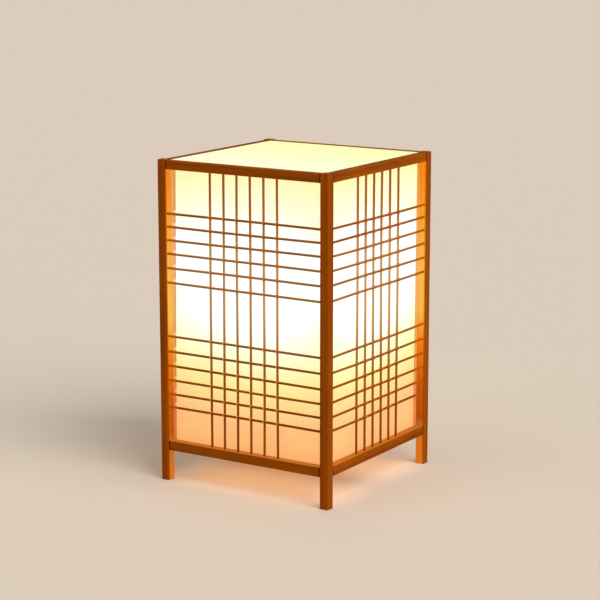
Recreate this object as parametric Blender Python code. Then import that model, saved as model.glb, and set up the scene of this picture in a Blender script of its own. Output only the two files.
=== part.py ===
"""Bamboo bedside lamp: a square frame with stick lattices in front of translucent panels.

Metres, +Z up. The origin is on the floor, midway between the four legs. The front is -Y.
Pieces that repeat round the lamp are modelled at the front or front left, then turned about Z.
"""

import math

import bmesh
import bpy
from mathutils import Matrix, Vector

# Gap left between two pieces that touch on the real lamp
seat_gap = 0.0003

# Points nearer than this are one point
merge_distance = 0.000001

# Faces that meet more steeply than this keep a sharp edge between them
sharp_angle = math.radians(40)

# Posts and rails
frame_width = 0.2000
post_height = 0.3300
post_size = 0.0095
leg_height = 0.0320
top_rail_height = 0.0090
bottom_rail_height = 0.0100
rail_drop = 0.0006
rail_setback = 0.0003
eased_edge = 0.0004

# Stub tenons at the rail ends, and the wood between the two that meet in a post
tenon_thickness = 0.0040
tenon_height = 0.0050
tenon_setback = 0.0018
tenon_web = 0.0012

# Sticks of the lattice
stick_radius = 0.00125
stick_sides = 6
stick_seat = 0.0030
stick_glue = 0.00015
lattice_setback = 0.0010
lattice_top_margin = 0.0445
lattice_bottom_margin = 0.0353
clear_band = 0.0550
clear_band_rise = 0.0016
horizontal_pitch = 0.0144
horizontal_growth = 0.0005
vertical_pitch = 0.01575
vertical_count = 6

# Panels and the strips in their corners
panel_thickness = 0.0008
panel_overlap = 0.0020
top_panel_recess = 0.0003
strip_size = 0.0045

# Crossbar
crossbar_width = 0.0340
crossbar_thickness = 0.0050
crossbar_drop = 0.0008
crossbar_seat = 0.0030

# Nipple, washer, nut and cord gland
nipple_radius = 0.0050
nipple_wall = 0.0010
nipple_end = 0.0020
nipple_rise = 0.0080
washer_width = 0.0037
washer_thickness = 0.0010
nut_wall = 0.0017
nut_height = 0.0040
gland_wall = 0.0006
gland_flange_lip = 0.0015
gland_flange_height = 0.0020
gland_spigot_height = 0.0060

# Lampholder, heights measured up from the crossbar
holder_sides = 24
cup_foot_width = 0.0067
cup_shoulder = 0.0023
cup_floor = 0.0040
cup_waist_height = 0.0140
cup_shoulder_height = 0.0220
cup_spigot_height = 0.0070
cup_clearance = 0.0010
cup_wall = 0.0020
insulator_ledge = 0.0020
insulator_ledge_height = 0.0160
insulator_thickness = 0.0080
skirt_wall = 0.0028
skirt_height = 0.0260
skirt_lip = 0.0018
skirt_lip_height = 0.0030
shell_clearance = 0.0006
shell_wall = 0.0006
shell_flange = 0.0006
shell_height = 0.0190
contact_rise = 0.0034
contact_width = 0.0060
contact_thickness = 0.0005
contact_reach = 0.0100
contact_foot = 0.0050
contact_tongue = 0.0025
contact_tail = 0.0025
terminal_screw_radius = 0.0015
terminal_head_radius = 0.0027
terminal_head_height = 0.0018
terminal_depth = 0.0045
terminal_offset = 0.0075

# Bulb, heights measured up from its tip
bulb_sides = 24
tip_radius = 0.0048
tip_height = 0.0018
cap_insulator_height = 0.0039
cap_thread_radius = 0.0130
cap_thread_depth = 0.0009
cap_thread_pitch = 0.00362
cap_thread_crest = 0.0007
cap_thread_turns = 4
cap_collar_height = 0.0035
cap_wall = 0.0011
housing_spigot_height = 0.0060
housing_wall = 0.0016
housing_height = 0.0400
housing_rim_radius = 0.0285
housing_rim_height = 0.0060
housing_flare_steps = 6
led_board_thickness = 0.0016
driver_width = 0.0150
driver_height = 0.0300
driver_thickness = 0.0016
globe_bulge = 0.0015
globe_rise = 0.0320
globe_wall = 0.0012
globe_rings = 7

# Frame levels and planes worked out from the sizes above
half_width = frame_width / 2
rail_depth = post_size - 2 * rail_setback
bottom_rail_top = leg_height + bottom_rail_height
top_rail_top = post_height - rail_drop
top_rail_bottom = top_rail_top - top_rail_height
rail_half_length = half_width - post_size - seat_gap
tenon_length = post_size - tenon_setback - tenon_thickness - tenon_web
stick_flat = stick_radius * math.cos(math.pi / stick_sides)
horizontal_plane = -half_width + lattice_setback + stick_radius
vertical_plane = horizontal_plane + 2 * stick_flat - stick_glue
panel_plane = half_width - post_size - seat_gap
panel_inside = panel_plane - panel_thickness
panel_bottom = bottom_rail_top - panel_overlap
top_panel_top = top_rail_top - top_panel_recess
panel_top = top_panel_top - panel_thickness - seat_gap
crossbar_top = panel_bottom - crossbar_drop
crossbar_bottom = crossbar_top - crossbar_thickness
rail_inside = half_width - rail_setback - rail_depth

# Radii of the nipple set, which fits the nipple
around_nipple = nipple_radius + seat_gap
nipple_bore_radius = nipple_radius - nipple_wall
washer_radius = around_nipple + washer_width
nut_across_flats = 2 * (around_nipple + nut_wall)
gland_spigot_radius = nipple_bore_radius - seat_gap
gland_bore_radius = gland_spigot_radius - gland_wall
gland_flange_radius = nipple_radius + gland_flange_lip

# Radii of the lampholder, which fits the bulb's cap
shell_bore_radius = cap_thread_radius + shell_clearance
shell_radius = shell_bore_radius + shell_wall
cup_cavity_radius = shell_radius + cup_clearance
cup_spigot_radius = cup_cavity_radius + cup_wall
cup_radius = cup_spigot_radius + cup_shoulder
cup_foot_radius = around_nipple + cup_foot_width
globe_radius = housing_rim_radius + globe_bulge

# Heights of the lampholder and the bulb on the lamp's axis
washer_bottom = crossbar_bottom - seat_gap - washer_thickness
nut_bottom = washer_bottom - seat_gap - nut_height
nipple_bottom = nut_bottom - nipple_end
holder_bottom = crossbar_top + seat_gap
insulator_bottom = holder_bottom + insulator_ledge_height + seat_gap
insulator_top = insulator_bottom + insulator_thickness
shell_bottom = insulator_top + seat_gap
bulb_tip = insulator_top + seat_gap + contact_rise + seat_gap
cap_insulator_bottom = bulb_tip + tip_height + seat_gap
cap_bottom = cap_insulator_bottom + cap_insulator_height + seat_gap
cap_collar_bottom = cap_bottom + cap_thread_pitch * cap_thread_turns
cap_top = cap_collar_bottom + cap_collar_height
housing_bottom = cap_top + seat_gap
housing_top = housing_bottom + housing_height
led_board_bottom = housing_top - housing_rim_height + seat_gap
globe_bottom = housing_top + seat_gap

side_names = ("front", "right", "back", "left")
corner_names = ("front_left", "front_right", "back_right", "back_left")
quarter_turn = math.pi / 2


def clear_scene():
    """Removes every object that is in the file."""
    for old in list(bpy.data.objects):
        bpy.data.objects.remove(old)


def make_finish(name, colour, roughness, metallic=0.0):
    """A plain Principled material, with a linear colour."""
    material = bpy.data.materials.new(name)
    material.use_nodes = True
    shader = material.node_tree.nodes["Principled BSDF"]
    shader.inputs["Base Color"].default_value = (*colour, 1.0)
    shader.inputs["Roughness"].default_value = roughness
    shader.inputs["Metallic"].default_value = metallic
    return material


def make_object(name, shape, finish=None):
    """An object in the scene from a bmesh, which is used up."""
    bmesh.ops.recalc_face_normals(shape, faces=shape.faces)
    data = bpy.data.meshes.new(name)
    shape.to_mesh(data)
    shape.free()
    piece = bpy.data.objects.new(name, data)
    bpy.context.scene.collection.objects.link(piece)
    if finish:
        data.materials.append(finish)
    return piece


def combine(piece, tool_shape, operation):
    """Cuts a piece with a bmesh, or joins the bmesh to it."""
    tool = make_object(piece.name + "_tool", tool_shape)
    step = piece.modifiers.new(operation.lower(), "BOOLEAN")
    step.operation = operation
    step.solver = "EXACT"
    step.object = tool
    bpy.context.view_layer.update()
    changed = bpy.data.meshes.new_from_object(piece.evaluated_get(bpy.context.evaluated_depsgraph_get()))
    piece.modifiers.remove(step)
    piece.data = changed
    bpy.data.objects.remove(tool)


def copy_around(first, names):
    """Names a piece and its copies, which are spread evenly round the lamp's axis."""
    first.name = names[0]
    for place, name in enumerate(names[1:], start=1):
        copy = bpy.data.objects.new(name, first.data)
        copy.rotation_euler[2] = first.rotation_euler[2] + place * 2 * math.pi / len(names)
        bpy.context.scene.collection.objects.link(copy)


def add_box(shape, low, high):
    """A box between two corners."""
    middle = (Vector(low) + Vector(high)) / 2
    span = Vector(high) - Vector(low)
    placed = Matrix.Translation(middle) @ Matrix.Diagonal((*span, 1.0))
    bmesh.ops.create_cube(shape, size=1.0, matrix=placed)


def box(low, high):
    """A bmesh of one box."""
    shape = bmesh.new()
    add_box(shape, low, high)
    return shape


def runs_along(edge, axis):
    """Whether an edge of a box lies along an axis."""
    start, end = edge.verts
    return abs(end.co[axis] - start.co[axis]) > merge_distance


def eased_box(low, high, long_axis=None):
    """A box with its edges eased: all of them, or only those along one axis."""
    shape = box(low, high)
    edges = list(shape.edges)
    if long_axis is not None:
        edges = [edge for edge in edges if runs_along(edge, long_axis)]
    bmesh.ops.bevel(shape, geom=edges, offset=eased_edge, segments=1, affect="EDGES")
    return shape


def add_rod(shape, start, end, radius, sides=stick_sides):
    """A many-sided rod along X or Z, with flats facing front and back."""
    start = Vector(start)
    end = Vector(end)
    along = end - start
    turn = Matrix.Rotation(quarter_turn, 4, "Y") if abs(along.x) > abs(along.z) else Matrix.Identity(4)
    flats = Matrix.Rotation(math.pi / sides, 4, "Z")
    bmesh.ops.create_cone(
        shape,
        cap_ends=True,
        segments=sides,
        radius1=radius,
        radius2=radius,
        depth=along.length,
        matrix=Matrix.Translation((start + end) / 2) @ turn @ flats,
    )


def rod(start, end, radius, sides=stick_sides):
    """A bmesh of one rod."""
    shape = bmesh.new()
    add_rod(shape, start, end, radius, sides)
    return shape


def turned(outline, sides):
    """A bmesh made by turning an outline of (radius, height) points about Z.

    An outline that starts and ends on the axis stays open there, and any other outline is closed.
    """
    shape = bmesh.new()
    points = [shape.verts.new((radius, 0.0, height)) for radius, height in outline]
    pairs = list(zip(points, points[1:]))
    if outline[0][0] > 0.0:
        pairs.append((points[-1], points[0]))
    edges = [shape.edges.new(pair) for pair in pairs]
    bmesh.ops.spin(
        shape,
        geom=points + edges,
        axis=(0, 0, 1),
        cent=(0, 0, 0),
        angle=2 * math.pi,
        steps=sides,
        use_merge=True,
    )
    bmesh.ops.remove_doubles(shape, verts=shape.verts, dist=merge_distance)
    return shape


def make_turned(name, outline, sides, finish):
    """A turned piece, shaded smooth between its sharp edges."""
    piece = make_object(name, turned(outline, sides), finish)
    shade_round(piece)
    return piece


def shade_round(piece):
    """Smooth shading that keeps the edges of a round piece sharp."""
    piece.data.shade_smooth()
    piece.data.set_sharp_from_angle(angle=sharp_angle)


def ring(inner_radius, outer_radius, low, high):
    """The outline of a plain ring."""
    return [(inner_radius, low), (outer_radius, low), (outer_radius, high), (inner_radius, high)]


def solid_disc(radius, low, high):
    """The outline of a plain disc."""
    return [(0.0, low), (radius, low), (radius, high), (0.0, high)]


def group_heights(low, high, widest_at_top):
    """Stick heights between two levels, with gaps that widen steadily towards the clear band."""
    gaps = max(1, round((high - low) / horizontal_pitch))
    mean = (high - low) / gaps
    heights = [low]
    for index in range(gaps):
        step = index if widest_at_top else gaps - 1 - index
        heights.append(heights[-1] + mean + (step - (gaps - 1) / 2) * horizontal_growth)
    return heights


def horizontal_heights():
    """Heights of all horizontal sticks: the lower group, then the upper group."""
    low = bottom_rail_top + lattice_bottom_margin
    high = top_rail_bottom - lattice_top_margin
    band_middle = (low + high) / 2 + clear_band_rise
    lower = group_heights(low, band_middle - clear_band / 2, True)
    upper = group_heights(band_middle + clear_band / 2, high, False)
    return lower + upper


def vertical_places():
    """Distances of the vertical sticks from the middle of their side."""
    return [(index - (vertical_count - 1) / 2) * vertical_pitch for index in range(vertical_count)]


def tenon_box(shape, x_low, x_high, rail_low, rail_high, clearance):
    """The section of a rail's tenon between two places along X, grown by a clearance."""
    middle = (rail_low + rail_high) / 2
    front = -half_width + tenon_setback
    add_box(
        shape,
        (x_low, front - clearance, middle - tenon_height / 2 - clearance),
        (x_high, front + tenon_thickness + clearance, middle + tenon_height / 2 + clearance),
    )


def make_posts(finish):
    """Four posts, each with mortises for its rails and holes for its sticks on the two inner sides."""
    corner = -half_width
    inner = corner + post_size
    post = make_object("post", eased_box((corner, corner, 0.0), (inner, inner, post_height)), finish)
    sockets = bmesh.new()
    tenon_end = inner + seat_gap - tenon_length
    for rail_low, rail_high in ((leg_height, bottom_rail_top), (top_rail_bottom, top_rail_top)):
        tenon_box(sockets, tenon_end - seat_gap, inner + seat_gap, rail_low, rail_high, seat_gap)
    for height in horizontal_heights():
        start = (inner - stick_seat - seat_gap, horizontal_plane, height)
        add_rod(sockets, start, (inner + seat_gap, horizontal_plane, height), stick_radius + seat_gap)
    other_side = sockets.copy()
    across_the_corner = Matrix(((0, 1, 0, 0), (1, 0, 0, 0), (0, 0, 1, 0), (0, 0, 0, 1)))
    bmesh.ops.transform(other_side, matrix=across_the_corner, verts=other_side.verts)
    combine(post, sockets, "DIFFERENCE")
    combine(post, other_side, "DIFFERENCE")
    copy_around(post, [f"post_{name}" for name in corner_names])


def make_rail(low, high, stick_level, stick_end, finish):
    """One front rail: a bar with stub tenons and a row of holes for the vertical sticks."""
    front = -half_width + rail_setback
    bar = eased_box(
        (-rail_half_length, front, low), (rail_half_length, front + rail_depth, high), long_axis=0
    )
    rail = make_object("rail", bar, finish)
    tenons = bmesh.new()
    reach = rail_half_length + tenon_length
    tenon_box(tenons, -reach, reach, low, high, 0.0)
    combine(rail, tenons, "UNION")
    holes = bmesh.new()
    for place in vertical_places():
        start = (place, vertical_plane, stick_level)
        add_rod(holes, start, (place, vertical_plane, stick_end), stick_radius + seat_gap)
    combine(rail, holes, "DIFFERENCE")
    return rail


def make_rails(finish):
    """Four top rails and four bottom rails; two bottom rails have a pocket for the crossbar."""
    stick_end = top_rail_bottom + stick_seat + seat_gap
    top = make_rail(top_rail_bottom, top_rail_top, top_rail_bottom - seat_gap, stick_end, finish)
    copy_around(top, [f"top_rail_{name}" for name in side_names])
    stick_end = bottom_rail_top - stick_seat - seat_gap
    bottom = make_rail(leg_height, bottom_rail_top, bottom_rail_top + seat_gap, stick_end, finish)
    copy_around(bottom, ["bottom_rail_front", "bottom_rail_back"])
    pocketed = make_rail(leg_height, bottom_rail_top, bottom_rail_top + seat_gap, stick_end, finish)
    pocket = box(
        (-crossbar_width / 2 - seat_gap, -rail_inside - crossbar_seat, crossbar_bottom - seat_gap),
        (crossbar_width / 2 + seat_gap, -rail_inside + seat_gap, crossbar_top + seat_gap),
    )
    combine(pocketed, pocket, "DIFFERENCE")
    pocketed.rotation_euler[2] = quarter_turn
    copy_around(pocketed, ["bottom_rail_right", "bottom_rail_left"])


def make_lattices(finish):
    """On each side, horizontal sticks glued across the front of the vertical sticks."""
    uprights = bmesh.new()
    for place in vertical_places():
        foot = (place, vertical_plane, bottom_rail_top - stick_seat)
        add_rod(uprights, foot, (place, vertical_plane, top_rail_bottom + stick_seat), stick_radius)
    lattice = make_object("lattice", uprights, finish)
    reach = half_width - post_size + stick_seat
    crosswise = bmesh.new()
    for height in horizontal_heights():
        end = (reach, horizontal_plane, height)
        add_rod(crosswise, (-reach, horizontal_plane, height), end, stick_radius)
    combine(lattice, crosswise, "UNION")
    copy_around(lattice, [f"lattice_{name}" for name in side_names])


def make_panels(finish):
    """Side panels that each butt against the next one, and a top panel that rests on them."""
    side = box(
        (-panel_plane, -panel_plane, panel_bottom), (panel_inside - seat_gap, -panel_inside, panel_top)
    )
    copy_around(make_object("panel", side, finish), [f"side_panel_{name}" for name in side_names])
    reach = rail_inside - seat_gap
    top = box((-reach, -reach, top_panel_top - panel_thickness), (reach, reach, top_panel_top))
    post_corners = bmesh.new()
    clear = half_width - post_size - seat_gap
    for x_side in (-1, 1):
        for y_side in (-1, 1):
            near = Vector((x_side * clear, y_side * clear, top_panel_top - 2 * panel_thickness))
            far = Vector((x_side * half_width, y_side * half_width, top_panel_top + panel_thickness))
            low = [min(pair) for pair in zip(near, far)]
            high = [max(pair) for pair in zip(near, far)]
            add_box(post_corners, low, high)
    combine(make_object("top_panel", top, finish), post_corners, "DIFFERENCE")


def make_corner_strips(finish):
    """Strips that back the side panels in the four inside corners."""
    outer = -panel_inside + seat_gap
    strip = eased_box((outer, outer, panel_bottom), (outer + strip_size, outer + strip_size, panel_top))
    copy_around(make_object("strip", strip, finish), [f"corner_strip_{name}" for name in corner_names])


def make_crossbar(finish):
    """The bar between the left and right bottom rails, bored for the nipple."""
    reach = rail_inside + crossbar_seat - seat_gap
    side = crossbar_width / 2
    bar = eased_box((-reach, -side, crossbar_bottom), (reach, side, crossbar_top), long_axis=0)
    crossbar = make_object("crossbar", bar, finish)
    bore_start = (0.0, 0.0, crossbar_bottom - seat_gap)
    bore_end = (0.0, 0.0, crossbar_top + seat_gap)
    combine(crossbar, rod(bore_start, bore_end, around_nipple, holder_sides), "DIFFERENCE")


def make_nipple_set(steel, plastic):
    """The hollow nipple through the crossbar, its washer and nut, and the cord gland in its lower end."""
    nipple_top = holder_bottom + nipple_rise
    make_turned(
        "nipple", ring(nipple_bore_radius, nipple_radius, nipple_bottom, nipple_top), holder_sides, steel
    )
    washer = ring(around_nipple, washer_radius, washer_bottom, washer_bottom + washer_thickness)
    make_turned("nipple_washer", washer, holder_sides, steel)
    hexagon = rod(
        (0.0, 0.0, nut_bottom), (0.0, 0.0, nut_bottom + nut_height), nut_across_flats / math.sqrt(3), 6
    )
    nut = make_object("nipple_nut", hexagon, steel)
    bore_start = (0.0, 0.0, nut_bottom - seat_gap)
    bore_end = (0.0, 0.0, nut_bottom + nut_height + seat_gap)
    combine(nut, rod(bore_start, bore_end, around_nipple, holder_sides), "DIFFERENCE")
    flange_top = nipple_bottom - seat_gap
    gland = [
        (gland_bore_radius, flange_top - gland_flange_height),
        (gland_flange_radius, flange_top - gland_flange_height),
        (gland_flange_radius, flange_top),
        (gland_spigot_radius, flange_top),
        (gland_spigot_radius, flange_top + gland_spigot_height),
        (gland_bore_radius, flange_top + gland_spigot_height),
    ]
    make_turned("cord_gland", gland, holder_sides, plastic)


def make_holder_shells(plastic):
    """The cup that screws onto the nipple, and the skirt that screws onto the cup."""
    base = holder_bottom
    ledge = cup_cavity_radius - insulator_ledge
    spigot_top = base + cup_shoulder_height + cup_spigot_height
    cup = [
        (around_nipple, base),
        (cup_foot_radius, base),
        (cup_radius, base + cup_waist_height),
        (cup_radius, base + cup_shoulder_height),
        (cup_spigot_radius, base + cup_shoulder_height),
        (cup_spigot_radius, spigot_top),
        (cup_cavity_radius, spigot_top),
        (cup_cavity_radius, base + insulator_ledge_height),
        (ledge, base + insulator_ledge_height),
        (ledge, base + cup_waist_height),
        (cup_foot_radius - cup_wall, base + cup_floor),
        (around_nipple, base + cup_floor),
    ]
    make_turned("holder_cup", cup, holder_sides, plastic)
    inside = cup_spigot_radius + seat_gap
    bottom = base + cup_shoulder_height + seat_gap
    top = bottom + skirt_height
    skirt = [
        (inside, bottom),
        (inside + skirt_wall, bottom),
        (inside + skirt_wall, top - skirt_lip_height),
        (inside + skirt_wall - skirt_lip / 2, top),
        (inside - skirt_lip, top),
        (inside - skirt_lip, top - skirt_lip_height),
        (inside, top - skirt_lip_height),
    ]
    make_turned("holder_skirt", skirt, holder_sides, plastic)


def make_holder_core(plastic, brass):
    """The insulator on its ledge, the screw shell and centre contact on it, and two terminal screws."""
    disc = solid_disc(cup_cavity_radius - seat_gap, insulator_bottom, insulator_top)
    insulator = make_turned("holder_insulator", disc, holder_sides, plastic)
    holes = bmesh.new()
    for side in (-1, 1):
        start = (side * terminal_offset, 0.0, insulator_bottom - seat_gap)
        end = (side * terminal_offset, 0.0, insulator_bottom + terminal_depth + seat_gap)
        add_rod(holes, start, end, terminal_screw_radius + seat_gap)
    combine(insulator, holes, "DIFFERENCE")
    for side, name in ((-1, "left"), (1, "right")):
        head_top = insulator_bottom - seat_gap
        screw = [
            (0.0, head_top - terminal_head_height),
            (terminal_head_radius, head_top - terminal_head_height),
            (terminal_head_radius, head_top),
            (terminal_screw_radius, head_top),
            (terminal_screw_radius, insulator_bottom + terminal_depth),
            (0.0, insulator_bottom + terminal_depth),
        ]
        placed = make_turned(f"terminal_screw_{name}", screw, stick_sides, brass)
        placed.location.x = side * terminal_offset
    shell = [
        (shell_bore_radius - shell_flange, shell_bottom),
        (shell_radius, shell_bottom),
        (shell_radius, shell_bottom + shell_height),
        (shell_bore_radius, shell_bottom + shell_height),
        (shell_bore_radius, shell_bottom + shell_wall),
        (shell_bore_radius - shell_flange, shell_bottom + shell_wall),
    ]
    make_turned("screw_shell", shell, holder_sides, brass)
    make_centre_contact(brass)


def make_centre_contact(brass):
    """A strip bent up from the insulator to a flat spring tongue under the bulb's tip."""
    low = shell_bottom
    high = low + contact_rise - contact_thickness
    path = [
        (-contact_reach, low),
        (-contact_reach + contact_foot, low),
        (-contact_tongue, high),
        (contact_tongue, high),
        (contact_tongue + contact_tail, (low + high) / 2),
    ]
    strip = bmesh.new()
    under = [strip.verts.new((x, -contact_width / 2, z)) for x, z in path]
    over = [strip.verts.new((x, -contact_width / 2, z + contact_thickness)) for x, z in path]
    side = strip.faces.new(under + over[::-1])
    grown = bmesh.ops.extrude_face_region(strip, geom=[side])["geom"]
    moved = [item for item in grown if isinstance(item, bmesh.types.BMVert)]
    bmesh.ops.translate(strip, vec=(0.0, contact_width, 0.0), verts=moved)
    make_object("centre_contact", strip, brass)


def make_bulb_cap(brass, plastic):
    """The bulb's tip contact, the insulating cone round it and the threaded cap."""
    tip_top = bulb_tip + tip_height
    tip = [(0.0, bulb_tip), (tip_radius / 2, bulb_tip), (tip_radius, tip_top), (0.0, tip_top)]
    make_turned("bulb_tip_contact", tip, bulb_sides, brass)
    root = cap_thread_radius - cap_thread_depth
    cone_top = cap_insulator_bottom + cap_insulator_height
    cone_bottom = cap_insulator_bottom
    cone = [(0.0, cone_bottom), (tip_radius, cone_bottom), (root, cone_top), (0.0, cone_top)]
    make_turned("bulb_cap_insulator", cone, bulb_sides, plastic)
    cap = [(root - cap_wall, cap_bottom), (root, cap_bottom)]
    for turn in range(cap_thread_turns):
        crest = cap_bottom + (turn + 0.5) * cap_thread_pitch
        cap.append((cap_thread_radius, crest - cap_thread_crest / 2))
        cap.append((cap_thread_radius, crest + cap_thread_crest / 2))
        cap.append((root, crest + cap_thread_pitch / 2))
    cap.append((cap_thread_radius, cap_collar_bottom + cap_thread_depth))
    cap.append((cap_thread_radius, cap_top))
    cap.append((root - cap_wall, cap_top))
    make_turned("bulb_cap", cap, bulb_sides, brass)


def make_bulb_body(plastic, board, diffuser):
    """The housing with its spigot in the cap, the driver and LED boards inside it, and the globe."""
    neck = cap_thread_radius
    spigot = cap_thread_radius - cap_thread_depth - cap_wall - seat_gap
    flare_top = housing_top - housing_rim_height
    housing = [
        (spigot - housing_wall, housing_bottom - housing_spigot_height),
        (spigot, housing_bottom - housing_spigot_height),
        (spigot, housing_bottom),
        (neck, housing_bottom),
    ]
    flare = []
    for step in range(1, housing_flare_steps + 1):
        share = step / housing_flare_steps
        ease = share * share * (3 - 2 * share)
        radius = neck + (housing_rim_radius - neck) * ease
        flare.append((radius, housing_bottom + (flare_top - housing_bottom) * share))
    housing += flare
    housing.append((housing_rim_radius, housing_top))
    housing.append((housing_rim_radius - housing_wall, housing_top))
    housing.append((housing_rim_radius - housing_wall, flare_top))
    housing += [(radius - 2 * housing_wall, height) for radius, height in reversed(flare)]
    housing.append((spigot - housing_wall, housing_bottom))
    make_turned("bulb_housing", housing, bulb_sides, plastic)
    board_radius = housing_rim_radius - housing_wall - seat_gap
    board_top = led_board_bottom + led_board_thickness
    make_turned("led_board", solid_disc(board_radius, led_board_bottom, board_top), bulb_sides, board)
    driver_top = led_board_bottom - seat_gap
    driver = box(
        (-driver_width / 2, -driver_thickness / 2, driver_top - driver_height),
        (driver_width / 2, driver_thickness / 2, driver_top),
    )
    make_object("driver_board", driver, board)
    make_globe(diffuser)


def make_globe(diffuser):
    """An open-bottomed shell whose outside is an ellipse that meets the housing's rim."""
    start = -math.acos(housing_rim_radius / globe_radius)
    middle = globe_bottom - globe_rise * math.sin(start)
    angles = [start + (math.pi / 2 - start) * step / globe_rings for step in range(globe_rings + 1)]
    outside = [(globe_radius * math.cos(angle), middle + globe_rise * math.sin(angle)) for angle in angles]
    inner_radius = globe_radius - globe_wall
    inner_rise = globe_rise - globe_wall
    inside = [(inner_radius * math.cos(angle), middle + inner_rise * math.sin(angle)) for angle in angles]
    inside[0] = (housing_rim_radius - globe_wall, globe_bottom)
    outside[-1] = (0.0, middle + globe_rise)
    inside[-1] = (0.0, middle + globe_rise - globe_wall)
    make_turned("bulb_globe", inside[::-1] + outside, bulb_sides, diffuser)


def main():
    clear_scene()
    bamboo = make_finish("bamboo", (0.260, 0.055, 0.002), 0.45)
    stick_bamboo = make_finish("stick_bamboo", (0.220, 0.050, 0.002), 0.55)
    film = make_finish("panel_film", (0.90, 0.82, 0.58), 0.60)
    steel = make_finish("zinc_steel", (0.60, 0.60, 0.58), 0.35, 1.0)
    brass = make_finish("brass", (0.70, 0.50, 0.20), 0.30, 1.0)
    black_plastic = make_finish("black_plastic", (0.02, 0.02, 0.02), 0.40)
    white_plastic = make_finish("white_plastic", (0.80, 0.80, 0.78), 0.45)
    board = make_finish("circuit_board", (0.75, 0.75, 0.72), 0.50)
    diffuser = make_finish("bulb_diffuser", (0.90, 0.88, 0.80), 0.35)
    make_posts(bamboo)
    make_rails(bamboo)
    make_lattices(stick_bamboo)
    make_panels(film)
    make_corner_strips(bamboo)
    make_crossbar(bamboo)
    make_nipple_set(steel, black_plastic)
    make_holder_shells(black_plastic)
    make_holder_core(white_plastic, brass)
    make_bulb_cap(brass, black_plastic)
    make_bulb_body(white_plastic, board, diffuser)


main()
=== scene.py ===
"""Looks of the bamboo bedside lamp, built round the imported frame.

Metres, +Z up. Every new piece is one or more grids of points worked out with numpy, and its place is
in its mesh. The lattices are worked out at the front, then turned about Z.
"""

import math

import bmesh
import bpy
import numpy as np
from mathutils import Matrix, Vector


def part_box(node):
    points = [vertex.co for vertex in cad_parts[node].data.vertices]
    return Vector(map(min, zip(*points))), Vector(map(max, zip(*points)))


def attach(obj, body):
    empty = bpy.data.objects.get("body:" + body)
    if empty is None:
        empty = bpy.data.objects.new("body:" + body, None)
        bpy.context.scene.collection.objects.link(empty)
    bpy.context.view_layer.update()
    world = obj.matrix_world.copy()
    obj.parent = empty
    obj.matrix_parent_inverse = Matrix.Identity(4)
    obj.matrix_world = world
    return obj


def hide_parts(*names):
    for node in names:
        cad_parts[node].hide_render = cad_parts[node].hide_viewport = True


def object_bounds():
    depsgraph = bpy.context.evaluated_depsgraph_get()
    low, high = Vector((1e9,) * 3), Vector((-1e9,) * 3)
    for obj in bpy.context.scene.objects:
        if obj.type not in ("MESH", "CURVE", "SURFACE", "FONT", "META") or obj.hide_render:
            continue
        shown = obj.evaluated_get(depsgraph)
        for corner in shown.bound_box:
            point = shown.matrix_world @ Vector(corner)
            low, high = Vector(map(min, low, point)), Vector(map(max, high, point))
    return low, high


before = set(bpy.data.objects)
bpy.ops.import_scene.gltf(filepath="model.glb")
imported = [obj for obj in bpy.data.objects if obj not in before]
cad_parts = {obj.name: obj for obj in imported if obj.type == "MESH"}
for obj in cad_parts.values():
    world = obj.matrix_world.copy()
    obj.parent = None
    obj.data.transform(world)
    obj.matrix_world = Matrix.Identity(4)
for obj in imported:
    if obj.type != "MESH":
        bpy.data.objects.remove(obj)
cad_low, cad_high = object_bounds()

side_names = ("front", "right", "back", "left")
side_directions = ((0, -1, 0), (1, 0, 0), (0, 1, 0), (-1, 0, 0))
corner_names = ("front_left", "front_right", "back_right", "back_left")
axis_x, axis_y, axis_z = 0, 1, 2
fibre_ways = ("along_x", "along_y", "upright")
full_turn = 2 * math.pi
quarter_turn = math.pi / 2
draw = np.random.default_rng(41)

# Points nearer than this are one point, and faces that meet more steeply than this have a crisp edge
merge_distance = 0.0000002
crisp_angle = math.radians(38)

# The fewest steps along a side or a bar, and how often the waves of its unevenness run over it
least_steps = 4
ripple_runs = (0.6, 2.4)

# Bars of the frame: round corners, eased ends, the slight unevenness left by hand sanding, and the painted
# shade at the joints where rails meet posts
bar_corner = 0.0006
bar_end_ease = 0.0005
bar_ripple = 0.00008
bar_station_gap = 0.0050
corner_steps = 4
side_point_gap = 0.0025
end_steps = 4
joint_shade_width = 0.0014
mask_fade = 0.0001
post_dim_width = 0.0020

# Sticks of the lattice, and the glue drops where they cross. The frame's sticks have six sides, and
# stick_flat is how far their flats are from their middle line
stick_radius = 0.00125
stick_flat = stick_radius * math.cos(math.pi / 6)
stick_end_tolerance = 0.000002
stick_sides = 14
stick_stations = 40
stick_bow = 0.00055
stick_full_wave_share = 0.5
stick_lean = 0.00030
stick_swell = 0.00005
stick_end_ease = 0.0003
stick_side_glow = (0.46, 0.60)
stick_facing_glow = 0.40
stick_notch = 0.0004
drop_across = 0.00180
drop_spread = (0.9, 1.1)
drop_deep = 0.00260
drop_rows = 6
drop_columns = 10

# Panels: they reach the wood beside them and bulge out a little in the middle. Faces that look inwards have
# the inner finish, but for a margin that the corner strips hide
panel_fit = 0.0009
panel_margin = 0.0065
panel_bulge = 0.0007
panel_edge = 0.00025
panel_point_gap = 0.0060
inner_facing = -0.5

# Turned pieces: sides round the axis, the curve at a corner, which takes up a share of a side at most, and
# the power that widens a thread's ridge
turned_sides = 72
ease_steps = 4
ease_share = 0.45
thread_power = 0.8

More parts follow.
